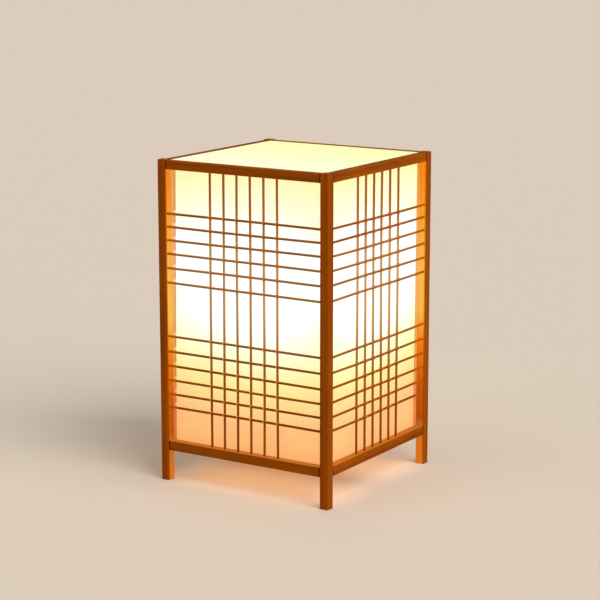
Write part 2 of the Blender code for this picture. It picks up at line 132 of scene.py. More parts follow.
# Lampholder and bulb, with radii and heights as in the frame
nipple_bore = 0.0040
nipple_rows = 130
nipple_thread_pitch = 0.0010
nipple_thread_depth = 0.0003
nipple_end_depth = 0.3
washer_bore = 0.0053
washer_ease = 0.00025
nut_rows = 13
nut_face_share = 0.99
nut_cone_slope = 1.8
gland_spigot = 0.0037
gland_bore = 0.0031
gland_flange_height = 0.0020
gland_ease = 0.0005
cup_bore = 0.0053
cup_foot = 0.0120
cup_foot_wall = 0.0020
cup_waist_rise = 0.0140
cup_shoulder_rise = 0.0220
cup_spigot = 0.0172
cup_cavity = 0.0152
cup_ledge = 0.0132
cup_ledge_rise = 0.0160
cup_floor = 0.0040
cup_ease = 0.0008
skirt_bore = 0.0175
skirt_lip_bore = 0.0157
skirt_lip_height = 0.0030
skirt_lip_inset = 0.0009
skirt_rows = 26
skirt_sides = 216
skirt_ribs = 36
skirt_rib_depth = 0.00045
skirt_rib_fade = 0.12
shell_bore = 0.0136
shell_flange = 0.0006
shell_wall = 0.0006
shell_rows = 60
cap_root = 0.0121
cap_bore = 0.0110
cap_thread_depth = 0.0009
cap_thread_pitch = 0.00362
cap_collar_height = 0.0035
cap_rows = 70
cap_cone_foot = 0.0048
insulator_ease = 0.0006
tip_foot = 0.0024
tip_ease = 0.0007
housing_neck = 0.0130
housing_spigot = 0.0107
housing_spigot_height = 0.0060
housing_wall = 0.0016
housing_rim_height = 0.0060
housing_flare_steps = 24
globe_wall = 0.0012
globe_steps = 28

# Camera, found from the posts and rails in the photograph
camera_place = (1.07670, -1.67993, 0.59028)
camera_yaw = math.radians(-32.554)
camera_pitch = math.radians(-11.593)
camera_roll = math.radians(-0.032)
camera_lens = 119.54
camera_sensor = 36.0
camera_reach = 100.0

# Floor and studio light
floor_half_size = 40.0
floor_colour = (0.600, 0.520, 0.440)
floor_roughness = 0.9
studio_colour = (1.00, 0.97, 0.93)
studio_level = 0.50
sun_angle = math.radians(50)
studio_lamps = (("soft_right", 75, 40, 2.9), ("soft_left", -30, 50, 0.35))


# Grids and meshes

class Shape:
    """Grids of points gathered into one mesh, with an edge mask and a glow mask on each point.

    The edge mask is 1 on worn edges and -1 where shade is painted at the joints of rails and posts.
    """

    def __init__(self):
        self.points = []
        self.faces = []
        self.finish_of_face = []
        self.masks = {"edge": [], "glow": []}
        self.count = 0

    def add_grid(self, grid, finish=0, edge=0.0, glow=0.0, closed_rows=False, capped=False):
        """Four-sided faces between neighbours of a grid whose columns run round and close.

        The rows close too if closed_rows says so, and capped puts a flat face on both ends. A finish is
        a number for the whole grid, or one for each face by the point that the face starts from.
        """
        rows, columns = grid.shape[:2]
        index = self.count + np.arange(rows * columns).reshape(rows, columns)
        beside = np.roll(index, -1, axis=1)
        above = np.roll(index, -1, axis=0)
        above_beside = np.roll(beside, -1, axis=0)
        faces = np.stack((index, beside, above_beside, above), axis=2)
        if not closed_rows:
            faces = faces[:-1]
        finish = np.broadcast_to(finish, (rows, columns))[:len(faces)]
        self.faces += faces.reshape(-1, 4).tolist()
        self.finish_of_face += finish.ravel().tolist()
        if capped:
            self.faces += [index[0][::-1].tolist(), index[-1].tolist()]
            self.finish_of_face += [int(finish[0, 0])] * 2
        self.points.append(grid.reshape(-1, 3))
        for mask, values in (("edge", edge), ("glow", glow)):
            self.masks[mask].append(np.broadcast_to(values, (rows, columns)).ravel())
        self.count += rows * columns

    def turn(self, quarters):
        """Turns all points about Z by quarter turns."""
        spin = np.array(Matrix.Rotation(quarters * quarter_turn, 3, "Z"))
        self.points = [points @ spin.T for points in self.points]

    def make(self, name, finishes, body, slot, *nodes):
        """A piece that rides on a body and stands for the named nodes of the frame."""
        data = bpy.data.meshes.new(name)
        data.from_pydata(np.concatenate(self.points), [], self.faces)
        data.polygons.foreach_set("material_index", self.finish_of_face)
        for mask, values in self.masks.items():
            layer = data.attributes.new(mask, "FLOAT", "POINT")
            layer.data.foreach_set("value", np.concatenate(values).astype(np.float32))
        close_seams(data)
        for finish in finishes:
            data.materials.append(finish)
        piece = add_object(name, data)
        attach(piece, body)
        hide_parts(*nodes)


def add_object(name, data):
    """A new object of the scene, at the origin."""
    thing = bpy.data.objects.new(name, data)
    bpy.context.scene.collection.objects.link(thing)
    return thing


def close_seams(data):
    """Merges points that lie together, points the faces outwards, and shades smoothly to crisp edges."""
    mesh = bmesh.new()
    mesh.from_mesh(data)
    bmesh.ops.remove_doubles(mesh, verts=mesh.verts, dist=merge_distance)
    bmesh.ops.recalc_face_normals(mesh, faces=mesh.faces)
    mesh.to_mesh(data)
    mesh.free()
    data.shade_smooth()
    data.set_sharp_from_angle(angle=crisp_angle)


def node_box(node):
    """The lowest and highest corner of a node of the frame, as arrays."""
    low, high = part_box(node)
    return np.array(low), np.array(high)


def turned_size(node):
    """The outer radius of a node that is turned about Z, and the heights of its foot and its top."""
    low, high = node_box(node)
    return high[0], low[2], high[2]


def group_middles(values):
    """The middle of each group of values that lie within a stick's diameter of each other."""
    ordered = np.sort(values)
    breaks = np.flatnonzero(np.diff(ordered) > 2 * stick_radius) + 1
    return [(group.min() + group.max()) / 2 for group in np.split(ordered, breaks)]


def stick_places():
    """Heights of the horizontal sticks and places of the vertical ones, from the front lattice's ends."""
    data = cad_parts["lattice_front"].data
    points = np.empty(len(data.vertices) * 3)
    data.vertices.foreach_get("co", points)
    points = points.reshape(-1, 3)
    at_side = points[:, 0] > points[:, 0].max() - stick_end_tolerance
    at_top = points[:, 2] > points[:, 2].max() - stick_end_tolerance
    return group_middles(points[at_side, 2]), group_middles(points[at_top, 0])


def ripple(rows, columns, waves=3):
    """A smooth field from 0 to 1: the mean of a few sine waves that run slantwise over the grid."""
    along = np.linspace(0, 1, rows)[:, None]
    around = np.linspace(0, 1, columns, endpoint=False)
    total = np.zeros((rows, columns))
    for wave in range(waves):
        phase = draw.uniform(0, full_turn)
        runs = draw.uniform(*ripple_runs) * (wave + 1)
        total += np.sin(full_turn * (runs * along + (wave + 1) * around) + phase)
    return 0.5 + 0.5 * total / waves


def rounded_rectangle(width, depth, radius, point_gap):
    """Points, outward directions and edge mask round a rectangle whose corners are quarter circles.

    Each corner is an arc, and each side has evenly spaced points between two arcs.
    """
    turn = np.linspace(0, quarter_turn, corner_steps + 1)
    points, outward, edge = [], [], []
    for quarter, (x_side, y_side) in enumerate(((1, 1), (-1, 1), (-1, -1), (1, -1))):
        centre = np.array((x_side * (width / 2 - radius), y_side * (depth / 2 - radius)))
        angle = quarter * quarter_turn + turn
        direction = np.stack((np.cos(angle), np.sin(angle)), axis=1)
        points.append(centre + radius * direction)
        outward.append(direction)
        edge.append(np.ones(len(turn)))
        side_length = (width if quarter in (0, 2) else depth) - 2 * radius
        steps = max(least_steps, round(side_length / point_gap))
        shares = np.linspace(0, 1, steps + 1)[1:-1]
        onward = np.array((-direction[-1][1], direction[-1][0]))
        points.append(points[-1][-1] + shares[:, None] * side_length * onward)
        outward.append(np.repeat(direction[-1:], len(shares), axis=0))
        edge.append(np.zeros(len(shares)))
    return np.concatenate(points), np.concatenate(outward), np.concatenate(edge)


def eased_stations(length, gap, ease, stops=()):
    """Distances along a bar and how far its section draws in there: quarter circles at both ends.

    Stops are further distances that get a station of their own.
    """
    turn = np.linspace(0, quarter_turn, end_steps + 1)
    start = ease * (1 - np.cos(turn))
    drawn_in = ease * (1 - np.sin(turn))
    steps = max(least_steps, round(length / gap))
    middle = np.linspace(ease, length - ease, steps + 1)[1:-1]
    middle = np.union1d(middle, stops)
    distance = np.concatenate((start, middle, length - start[::-1]))
    inset = np.concatenate((drawn_in, np.zeros(len(middle)), drawn_in[::-1]))
    return distance, inset


def bar_grid(low, high, along, corner, ease, uneven, point_gap, stops=()):
    """A rounded rectangle carried along one axis of a box, drawn in at its ends and slightly uneven.

    Returns the grid of points, the outward directions and the edge mask.
    """
    across, up = (along + 1) % 3, (along + 2) % 3
    span = high - low
    section, outward, edge = rounded_rectangle(span[across], span[up], corner, point_gap)
    distance, inset = eased_stations(span[along], bar_station_gap, ease, np.array(stops) - low[along])
    rows, columns = len(distance), len(section)
    inward = inset[:, None] + uneven * ripple(rows, columns)
    grid = np.empty((rows, columns, 3))
    middle = (low + high) / 2
    grid[..., along] = low[along] + distance[:, None]
    grid[..., across] = middle[across] + section[:, 0] - inward * outward[:, 0]
    grid[..., up] = middle[up] + section[:, 1] - inward * outward[:, 1]
    facing = np.zeros((rows, columns, 3))
    facing[..., across] = outward[:, 0]
    facing[..., up] = outward[:, 1]
    mask = np.maximum(edge, (inset > 0)[:, None])
    return grid, facing, mask


def facing_mask(facing, directions):
    """How squarely each point faces the nearest of some directions: the squared cosine between the two."""
    mask = np.zeros(facing.shape[:2])
    for direction in directions:
        mask = np.maximum(mask, np.clip(facing @ np.array(direction, float), 0, 1))
    return mask ** 2


def round_angles(count):
    """Evenly spaced angles all the way round."""
    return np.linspace(0, full_turn, count, endpoint=False)


def line_of(radius, heights):
    """Profile points at some heights, all at one radius or each at its own."""
    return np.stack((np.broadcast_to(radius, np.shape(heights)), heights), axis=1)


def eased_profile(points, radius, closed=True):
    """A profile of (radius, height) points with each corner replaced by a short curve.

    The curve is the parabola that starts and ends at the same distance from the corner on both sides.
    """
    points = np.array(points, float)
    before = np.roll(points, 1, axis=0) - points
    after = np.roll(points, -1, axis=0) - points
    before_length = np.linalg.norm(before, axis=1, keepdims=True)
    after_length = np.linalg.norm(after, axis=1, keepdims=True)
    reach = np.minimum(radius, ease_share * np.minimum(before_length, after_length))
    start = points + before / before_length * reach
    end = points + after / after_length * reach
    share = np.linspace(0, 1, ease_steps + 1)[None, :, None]
    curve = start[:, None] * (1 - share) ** 2
    curve += points[:, None] * 2 * share * (1 - share)
    curve += end[:, None] * share ** 2
    if closed:
        return curve.reshape(-1, 2)
    return np.concatenate((points[:1], curve[1:-1].reshape(-1, 2), points[-1:]))


def turned_grid(profile, swell, sides):
    """A profile of (radius, height) points turned about Z; swell is added to the radius."""
    angle = round_angles(sides)
    radius = profile[:, :1] + np.broadcast_to(swell, (len(profile), sides))
    height = np.broadcast_to(profile[:, 1:], (len(profile), sides))
    return np.stack((radius * np.cos(angle), radius * np.sin(angle), height), axis=2)


def make_turned(node, profile, finish, body, slot, swell=0.0, closed=True, sides=turned_sides):
    """A piece turned from one profile: a closed loop, or a line that starts and ends on the axis."""
    shape = Shape()
    shape.add_grid(turned_grid(profile, swell, sides), closed_rows=closed)
    shape.make(node + "_look", [finish], body, slot, node)


def make_cone(node, foot, ease, finish, body, slot):
    """A solid cone or disc with eased corners: its foot has the given radius, and its top the node's."""
    radius, bottom, top = turned_size(node)
    cone = [(0.0, bottom), (foot, bottom), (radius, top), (0.0, top)]
    make_turned(node, eased_profile(cone, ease, closed=False), finish, body, slot, closed=False)


# Shader nodes

def feed(tree, node, inputs):
    """Sets each named or numbered input of a node to a value or a colour, or links it to a socket."""
    for name, value in inputs.items():
        socket = node.inputs[name]
        if isinstance(value, bpy.types.NodeSocket):
            tree.links.new(value, socket)
        elif socket.type == "RGBA":
            socket.default_value = (*value, 1.0)
        else:
            socket.default_value = value


def add_node(tree, kind, inputs=None, **settings):
    """A node with its settings and its inputs."""
    node = tree.nodes.new(kind)
    for name, value in settings.items():
        setattr(node, name, value)
    feed(tree, node, inputs or {})
    return node


def maths(tree, operation, first, second=0.0, clamp=False):
    """The result of a Math node."""
    node = add_node(tree, "ShaderNodeMath", {0: first, 1: second}, operation=operation, use_clamp=clamp)
    return node.outputs[0]


def times(tree, first, second):
    """The product of two values."""
    return maths(tree, "MULTIPLY", first, second)


def minus(tree, first, second, clamp=False):
    """The difference of two values."""
    return maths(tree, "SUBTRACT", first, second, clamp)


def size_of(tree, value):
    """A value without its sign."""
    return maths(tree, "ABSOLUTE", value)


def blended(tree, first, second, share):
    """The sum of two values, the first at a share and the second at the rest."""
    return maths(tree, "ADD", times(tree, first, share), times(tree, second, 1 - share))


def mixed(tree, share, first, second, blend="MIX"):
    """The result of mixing two colours."""
    inputs = {0: share, 6: first, 7: second}
    return add_node(tree, "ShaderNodeMix", inputs, data_type="RGBA", blend_type=blend).outputs[2]


def tinted(tree, first, second):
    """The product of two colours."""
    return mixed(tree, 1.0, first, second, "MULTIPLY")


def grey_of(tree, value):
    """A grey colour of one value."""
    inputs = {"Red": value, "Green": value, "Blue": value}
    return add_node(tree, "ShaderNodeCombineColor", inputs).outputs[0]


def axes_of(tree, vector):
    """The X, Y and Z of a vector."""
    return add_node(tree, "ShaderNodeSeparateXYZ", {"Vector": vector}).outputs


def mask_of(tree, name):
    """A mask that the mesh's points carry."""
    return add_node(tree, "ShaderNodeAttribute", attribute_name=name).outputs["Fac"]


def noise(tree, vector, scale, detail=2.0, rough=0.5):
    """A noise value about 0.5, with the vector stretched by a scale for each axis."""
    stretched = add_node(tree, "ShaderNodeMapping", {"Vector": vector, "Scale": scale}).outputs[0]
    inputs = {"Vector": stretched, "Scale": 1.0, "Detail": detail, "Roughness": rough}
    return add_node(tree, "ShaderNodeTexNoise", inputs).outputs[0]


def ramp(tree, value, stops):
    """The colour of a ramp of (place, linear colour) stops."""
    node = add_node(tree, "ShaderNodeValToRGB", {"Fac": value})
    elements = node.color_ramp.elements
    while len(elements) < len(stops):
        elements.new(1.0)
    for element, (place, colour) in zip(elements, stops):
        element.position = place
        element.color = (*colour, 1.0)
    return node.outputs[0]


def between(tree, value, low, high, new_low=0.0, new_high=1.0):
    """A value carried from one range to another, and held within it."""
    inputs = {"Value": value, "From Min": low, "From Max": high, "To Min": new_low, "To Max": new_high}
    return add_node(tree, "ShaderNodeMapRange", inputs).outputs[0]


# The range that noise values keep to for the most part
noise_range = (0.3, 0.7)


def spread(tree, value, low, high):
    """A noise value carried from its usual range to another."""
    return between(tree, value, *noise_range, low, high)


def height_share(tree, z):
    """A height as a share of the lamp's height."""
    return between(tree, z, cad_low.z, cad_high.z)


def from_middle(tree, x, y):
    """The distance from the middle of a side of the lamp: the smaller of X and Y without their signs."""
    return maths(tree, "MINIMUM", size_of(tree, x), size_of(tree, y))


def new_group(name, inputs, outputs):
    """An empty node group with sockets of the given kinds, its input sockets and its output node."""
    group = bpy.data.node_groups.new(name, "ShaderNodeTree")
    for way, sockets in (("INPUT", inputs), ("OUTPUT", outputs)):
        for label, kind in sockets.items():
            group.interface.new_socket(label, in_out=way, socket_type="NodeSocket" + kind)
    return group, group.nodes.new("NodeGroupInput").outputs, group.nodes.new("NodeGroupOutput")


# Bamboo patterns: repeats in a metre, across the fibres twice and then along them, and how they join
fine_fibres = (1900, 1900, 22)
coarse_fibres = (620, 620, 9)
broad_strips = (190, 190, 2.2)
wood_patches = (34, 34, 18)
fine_share = 0.45
fibre_share = 0.35
tone_range = (0.38, 0.62)
wood_shades = (0.88, 1.10)
wear_range = (0.40, 0.62)
wear_shares = (0.05, 0.25)
worn_tint = (1.15, 1.12, 1.0)
# Painted shade at the joints where rails meet posts
joint_shade_tint = (0.46, 0.26, 0.18)
wood_roughness = (0.38, 0.58)

# Moulded and rolled surfaces
surface_speckle = (2600, 2600, 2600)
surface_patches = (140, 140, 90)
surface_shades = (0.86, 1.10)
surface_unevenness = (-0.07, 0.10)

# Light of the panels: brightest at this height, with side distances counted at this share
glow_height = 0.2050
glow_side_share = 0.55

surface_outputs = {"Colour": "Color", "Roughness": "Float", "Height": "Float"}


def make_fibre_group():
    """Bamboo: fine straight fibres and broad strips along the vector's Z, worn edges, painted joint shade.
    """
    inputs = {"Vector": "Vector", "Dark": "Color", "Light": "Color", "Edge": "Float"}
    group, given, result = new_group("bamboo_fibre", inputs, surface_outputs)
    vector, light, edge = given["Vector"], given["Light"], given["Edge"]
    fine = noise(group, vector, fine_fibres, detail=3.0, rough=0.6)
    coarse = noise(group, vector, coarse_fibres)
    strip = noise(group, vector, broad_strips, detail=1.0)
    patch = noise(group, vector, wood_patches, detail=3.0)
    fibres = blended(group, fine, coarse, fine_share)
    tone = blended(group, fibres, strip, fibre_share)
    wood = mixed(group, between(group, tone, *tone_range), given["Dark"], light)
    shaded = tinted(group, wood, grey_of(group, spread(group, patch, *wood_shades)))
    wear = between(group, patch, *wear_range, *wear_shares)
    worn = times(group, between(group, edge, 0, 1), wear)
    brighter = tinted(group, light, worn_tint)
    # Painted shade where a rail meets the posts, where the edge mask is below 0
    joint_shaded = tinted(group, shaded, joint_shade_tint)
    joint_shade = between(group, edge, 0, -1)
    colour = mixed(group, joint_shade, mixed(group, worn, shaded, brighter), joint_shaded)
    rough = spread(group, fibres, *wood_roughness)
    feed(group, result, {"Colour": colour, "Roughness": rough, "Height": fibres})
    return group


def make_panel_light_group():
    """How far a point is from the bulb's level in metres, with a minus sign below that level.

    The distance joins the height above the bulb's level and a share of the distance from the middle
    of the side, as the two short sides of a right triangle.
    """
    group, given, result = new_group("panel_light", {"Vector": "Vector"}, {"Distance": "Float"})
    x, y, z = axes_of(group, given["Vector"])
    sideways = times(group, from_middle(group, x, y), glow_side_share)
    height = minus(group, z, glow_height)
    square = maths(group, "ADD", times(group, sideways, sideways), times(group, height, height))
    signed = times(group, maths(group, "SQRT", square), maths(group, "SIGN", height))
    feed(group, result, {"Distance": signed})
    return group


def make_surface_group():
    """Moulded or rolled surfaces: fine speckle and soft patches, as a shade, a roughness and a height."""
    inputs = {"Vector": "Vector", "Colour": "Color", "Rough": "Float"}
    group, given, result = new_group("moulded_surface", inputs, surface_outputs)
    speckle = noise(group, given["Vector"], surface_speckle)
    patch = noise(group, given["Vector"], surface_patches, detail=3.0)
    colour = tinted(group, given["Colour"], grey_of(group, spread(group, patch, *surface_shades)))
    uneven = spread(group, patch, *surface_unevenness)
    rough = maths(group, "ADD", given["Rough"], uneven, clamp=True)
    feed(group, result, {"Colour": colour, "Roughness": rough, "Height": speckle})
    return group


fibre_group = make_fibre_group()
panel_light_group = make_panel_light_group()
surface_group = make_surface_group()


# Materials

# Relief and gloss of the surfaces, and the shades that fibres and soft clouds give to their light
bump_strength = 0.6
wood_relief = 0.00012
film_relief = 0.00008
surface_relief = 0.00003
wood_gloss = 0.01
film_gloss = 0.25
lit_gloss = 0.1
fibre_light = (0.85, 1.12)
lit_clouds = (60, 60, 60)
lit_shades = (0.94, 1.0)


def new_material(name):
    """A material with a Principled shader, its node tree and Object coordinates."""
    material = bpy.data.materials.new(name)
    material.use_nodes = True
    tree = material.node_tree
    place = add_node(tree, "ShaderNodeTexCoord").outputs["Object"]
    return material, tree, tree.nodes["Principled BSDF"], place


def use_group(tree, group, inputs):
    """The outputs of a placed node group."""
    return add_node(tree, "ShaderNodeGroup", inputs, node_tree=group).outputs


def bumped(tree, height, depth):
    """The normal of a surface whose height goes up and down by a depth."""
    inputs = {"Height": height, "Strength": bump_strength, "Distance": depth}
    return add_node(tree, "ShaderNodeBump", inputs).outputs[0]


fibre_turns = {
    "upright": (0.0, 0.0, 0.0),
    "along_x": (0.0, quarter_turn, 0.0),
    "along_y": (quarter_turn, 0.0, 0.0),
}

# Light that the panels throw on the wood and the sticks, by height in shares of the lamp's height
wood_glow = (
    (0.09, (0.46, 0.125, 0.010)),
    (0.125, (0.30, 0.115, 0.018)),
    (0.150, (0.19, 0.042, 0.003)),
    (0.25, (0.31, 0.052, 0.002)),
    (0.385, (0.64, 0.145, 0.006)),
    (0.43, (0.68, 0.240, 0.020)),
    (0.50, (0.72, 0.420, 0.070)),
    (0.66, (0.72, 0.430, 0.073)),
    (0.775, (0.71, 0.350, 0.034)),
    (0.92, (0.71, 0.205, 0.010)),
)
stick_glow = (
    (0.14, (0.08, 0.015, 0.001)),
    (0.25, (0.20, 0.050, 0.002)),
    (0.36, (0.30, 0.120, 0.006)),
    (0.45, (0.52, 0.340, 0.100)),
    (0.56, (0.80, 0.680, 0.330)),
    (0.72, (0.80, 0.680, 0.320)),
    (0.82, (0.50, 0.310, 0.090)),
    (0.90, (0.34, 0.160, 0.028)),
)

# Near the front left and back right posts, the horizontal sticks' ends are lit by the posts: from these
# distances from the middle of the side, by the way the sticks run
warm_start = {"along_x": 0.0797, "along_y": 0.0725}
warm_fade = 0.0010
warm_light = (0.25, 0.040, 0.0005)


def make_bamboo(name, turn, dark, light, glow_stops, warm_from=None):
    """Bamboo with its fibres along one axis, and the panels' light on the sides that face them.

    If a distance from the middle of the side is given, the ends past it are lit by the posts.
    """
    material, tree, shader, place = new_material(name)
    turned = add_node(tree, "ShaderNodeMapping", {"Vector": place, "Rotation": fibre_turns[turn]}).outputs[0]
    edge = mask_of(tree, "edge")
    inputs = {"Vector": turned, "Dark": dark, "Light": light, "Edge": edge}
    fibre = use_group(tree, fibre_group, inputs)
    x, y, z = axes_of(tree, place)
    glow = times(tree, mask_of(tree, "glow"), spread(tree, fibre["Height"], *fibre_light))
    lit = tinted(tree, ramp(tree, height_share(tree, z), glow_stops), grey_of(tree, glow))
    if warm_from:
        warm = between(tree, from_middle(tree, x, y), warm_from, warm_from + warm_fade)
        by_lit_post = maths(tree, "GREATER_THAN", times(tree, x, y), 0.0)
        lit = mixed(tree, times(tree, warm, by_lit_post), lit, warm_light)
    finish = {
        "Base Color": fibre["Colour"],
        "Roughness": fibre["Roughness"],
        "Specular IOR Level": wood_gloss,
        "Normal": bumped(tree, fibre["Height"], wood_relief),
        "Emission Color": lit,
        "Emission Strength": 1.0,
    }
    feed(tree, shader, finish)
    return material


# Light of the side panels and of the panels' insides by metres below and above the bulb's level, and light
# of the top panel at its front and back edges
side_film_light = (
    (-0.175, (0.86, 0.340, 0.110)),
    (-0.135, (0.87, 0.475, 0.185)),
    (-0.094, (0.89, 0.800, 0.315)),
    (-0.063, (0.88, 0.980, 0.680)),
    (-0.045, (1.00, 1.020, 0.990)),
    (0.066, (1.00, 1.020, 0.990)),
    (0.086, (0.90, 0.930, 0.690)),
    (0.135, (0.87, 0.880, 0.320)),
)
inner_film_light = (
    (-0.175, (0.50, 0.230, 0.090)),
    (-0.060, (0.90, 0.600, 0.330)),
    (0.060, (1.00, 0.800, 0.560)),
    (0.135, (0.80, 0.500, 0.260)),
)
top_front_light = (0.75, 0.84, 0.64)
top_back_light = (0.71, 0.86, 0.34)
film_strength = 1.0
inner_film_strength = 2.2

# Film: its colour, its paper fibres in repeats in a metre for each axis, and their shades
film_base = (0.20, 0.110, 0.050)
film_strands = (900, 900, 60)
film_flecks = (70, 70, 420)
film_clouds = (45, 45, 45)
strand_share = 0.5
strand_shades = (0.95, 1.05)
cloud_shades = (0.97, 1.03)
film_roughness = (0.42, 0.60)

# Shade of the corner strips on the side panels, and the paler spots in it
strip_shade = (0.72, 0.350, 0.145)
strip_edge_shade = (0.46, 0.260, 0.075)
strip_edge_width = 0.0032
strip_fade = (-0.0003, 0.0005)
strip_taper = 0.0034
spot_rise = 0.0013
spot_half_height = 0.0018
spot_reach = 0.0050
spot_share = 0.8


def film_fibres(tree, place):
    """Paper fibres that run both ways, as a height and as a shade about 1."""
    strands = noise(tree, place, film_strands, detail=3.0, rough=0.6)
    flecks = noise(tree, place, film_flecks, detail=3.0, rough=0.6)
    clouds = noise(tree, place, film_clouds)
    fibres = blended(tree, strands, flecks, strand_share)
    shade = times(tree, spread(tree, fibres, *strand_shades), spread(tree, clouds, *cloud_shades))
    return fibres, shade


def make_film(name, light_of, strength):
    """Translucent film lit from behind, with faint paper fibres."""
    material, tree, shader, place = new_material(name)
    fibres, shade = film_fibres(tree, place)
    grey = grey_of(tree, shade)
    finish = {
        "Base Color": tinted(tree, grey, film_base),
        "Roughness": spread(tree, fibres, *film_roughness),
        "Specular IOR Level": film_gloss,
        "Normal": bumped(tree, fibres, film_relief),
        "Emission Color": tinted(tree, light_of(tree, place), grey),
        "Emission Strength": strength,
    }
    feed(tree, shader, finish)
    return material


def light_by_distance(tree, place, stops):
    """The colour of a ramp by distance from the bulb's level."""
    distance = use_group(tree, panel_light_group, {"Vector": place})["Distance"]
    low, high = stops[0][0], stops[-1][0]
    shares = [((at - low) / (high - low), colour) for at, colour in stops]
    return ramp(tree, between(tree, distance, low, high), shares)


def side_light(tree, place):
    """Light by distance from the bulb's level, shaded where a corner strip stands behind the film.

    The shade is darker along its inner edge. Seen from outside, it is narrower near the foot at a side's
    left end, where a paler spot breaks it above the end of each horizontal stick, and narrower near the
    top at the right end.
    """
    light = light_by_distance(tree, place, side_film_light)
    x, y, z = axes_of(tree, place)
    handed = times(tree, times(tree, x, y), minus(tree, size_of(tree, y), size_of(tree, x)))
    left_end = maths(tree, "GREATER_THAN", handed, 0.0)
    narrowing = size_of(tree, minus(tree, left_end, height_share(tree, z)))
    strip_edge = node_box("corner_strip_front_right")[0][0]
    past_edge = minus(tree, from_middle(tree, x, y), strip_edge)
    past_edge = minus(tree, past_edge, times(tree, narrowing, strip_taper))
    spots = 0.0
    for height in stick_places()[0]:
        away = size_of(tree, minus(tree, z, height + spot_rise))
        spots = maths(tree, "MAXIMUM", spots, between(tree, away, spot_half_height, 0.0))
    spots = times(tree, spots, between(tree, past_edge, spot_reach, 0.0))
    spots = times(tree, spots, left_end)
    shaded = between(tree, past_edge, *strip_fade)
    shaded = minus(tree, shaded, times(tree, spots, spot_share), clamp=True)
    edge = between(tree, past_edge, strip_edge_width, 0.0)
    shade = mixed(tree, edge, strip_shade, strip_edge_shade)
    return mixed(tree, shaded, light, tinted(tree, light, shade))


def inner_light(tree, place):
    """Light on the inside of the panels, which faces the bulb."""
    return light_by_distance(tree, place, inner_film_light)


def top_light(tree, place):
    """Nearly even light, a little yellower away from the front edge."""
    depth = axes_of(tree, place)[axis_y]
    share = between(tree, depth, cad_low.y, cad_high.y)
    return mixed(tree, share, top_front_light, top_back_light)


def make_surface(name, colour, rough, metallic=0.0, light=None, strength=0.0):
    """A moulded, rolled or plated surface, which also gives light if a light is given."""
    material, tree, shader, place = new_material(name)
    surface = use_group(tree, surface_group, {"Vector": place, "Colour": colour, "Rough": rough})
    finish = {
        "Base Color": surface["Colour"],
        "Roughness": surface["Roughness"],
        "Metallic": metallic,
        "Normal": bumped(tree, surface["Height"], surface_relief),
    }
    if light:
        soft = spread(tree, noise(tree, place, lit_clouds), *lit_shades)
        finish["Specular IOR Level"] = lit_gloss
        finish["Emission Color"] = tinted(tree, grey_of(tree, soft), light)
        finish["Emission Strength"] = strength
    feed(tree, shader, finish)
    return material


bar_dark, bar_light = (0.194, 0.038, 0.0006), (0.272, 0.063, 0.0012)
stick_dark, stick_light = (0.170, 0.036, 0.0006), (0.245, 0.060, 0.0012)
bamboo = {turn: make_bamboo("bamboo_" + turn, turn, bar_dark, bar_light, wood_glow) for turn in fibre_turns}
stick_bamboo = {
    turn: make_bamboo("stick_" + turn, turn, stick_dark, stick_light, stick_glow, warm_start.get(turn))
    for turn in fibre_turns
}
# The glue drops are painted with a soft orange glow, though glue gives no light
glue = make_surface("glue_amber_glowing", (0.26, 0.058, 0.002), 0.45, light=(0.28, 0.090, 0.005), strength=1.0)
side_film = make_film("side_film", side_light, film_strength)
top_film = make_film("top_film", top_light, film_strength)
inner_film = make_film("inner_film", inner_light, inner_film_strength)
zinc_steel = make_surface("zinc_steel", (0.60, 0.60, 0.58), 0.32, 1.0)
black_plastic = make_surface("black_plastic", (0.022, 0.021, 0.020), 0.38)
porcelain = make_surface("porcelain_white", (0.80, 0.80, 0.78), 0.22)
brass = make_surface("brass", (0.70, 0.50, 0.20), 0.28, 1.0)
aluminium = make_surface("cap_aluminium", (0.75, 0.75, 0.74), 0.30, 1.0)
housing_plastic = make_surface("housing_plastic", (0.82, 0.82, 0.80), 0.35)
board = make_surface("circuit_board", (0.75, 0.75, 0.72), 0.45)
diffuser = make_surface("bulb_diffuser", (0.85, 0.80, 0.68), 0.30, light=(1.0, 0.78, 0.50), strength=4.0)


# Frame of the lamp

def make_bar(node, along, glow_from=(), glow_spans=(), joint_shades=(), outer_corner=None):
    """A bar of the frame in a node's box, with a glow mask on the sides that face the given directions.

    If spans along the bar are given, it glows only between the ends of each span. If two joint shade places
    are given, the bar has painted shade before the first and after the second, where it meets the posts. If
    an outer corner in plan is given, the glow fades towards the two sides that meet there.
    """
    changes = [place for span in glow_spans for place in span] + list(joint_shades)
    stops = [place + step for place in changes for step in (-mask_fade, mask_fade)]
    grid, facing, edge = bar_grid(
        *node_box(node), along, bar_corner, bar_end_ease, bar_ripple, side_point_gap, stops
    )
    place = grid[..., along]
    glow = facing_mask(facing, glow_from)
    if glow_spans:
        glow = glow * sum((place > start) & (place < end) for start, end in glow_spans)
    if outer_corner is not None:
        depth = np.abs(grid[..., :2] - outer_corner).min(axis=2)
        glow = glow * np.clip(depth / post_dim_width, 0, 1)
    # Painted shade at both ends of a rail, where it meets the posts
    if joint_shades:
        edge = np.where((place > joint_shades[0]) & (place < joint_shades[1]), edge, -1.0)
    shape = Shape()
    shape.add_grid(grid, edge=edge, glow=glow, capped=True)
    shape.make(node + "_look", [bamboo[fibre_ways[along]]], "lamp", "bamboo", node)


def make_posts():
    """Posts, lit on their two inner sides between the rails and below the bottom rails."""
    bottom_low, bottom_high = node_box("bottom_rail_front")
    top_low = node_box("top_rail_front")[0]
    spans = ((bar_end_ease, bottom_low[2]), (bottom_high[2], top_low[2]))
    for corner in corner_names:
        node = f"post_{corner}"
        low, high = node_box(node)
        inwards = -np.sign((low + high) / 2)
        glow_from = ((inwards[0], 0, 0), (0, inwards[1], 0))
        outer_corner = np.where(inwards > 0, low, high)[:2]
        make_bar(node, axis_z, glow_from, spans, outer_corner=outer_corner)


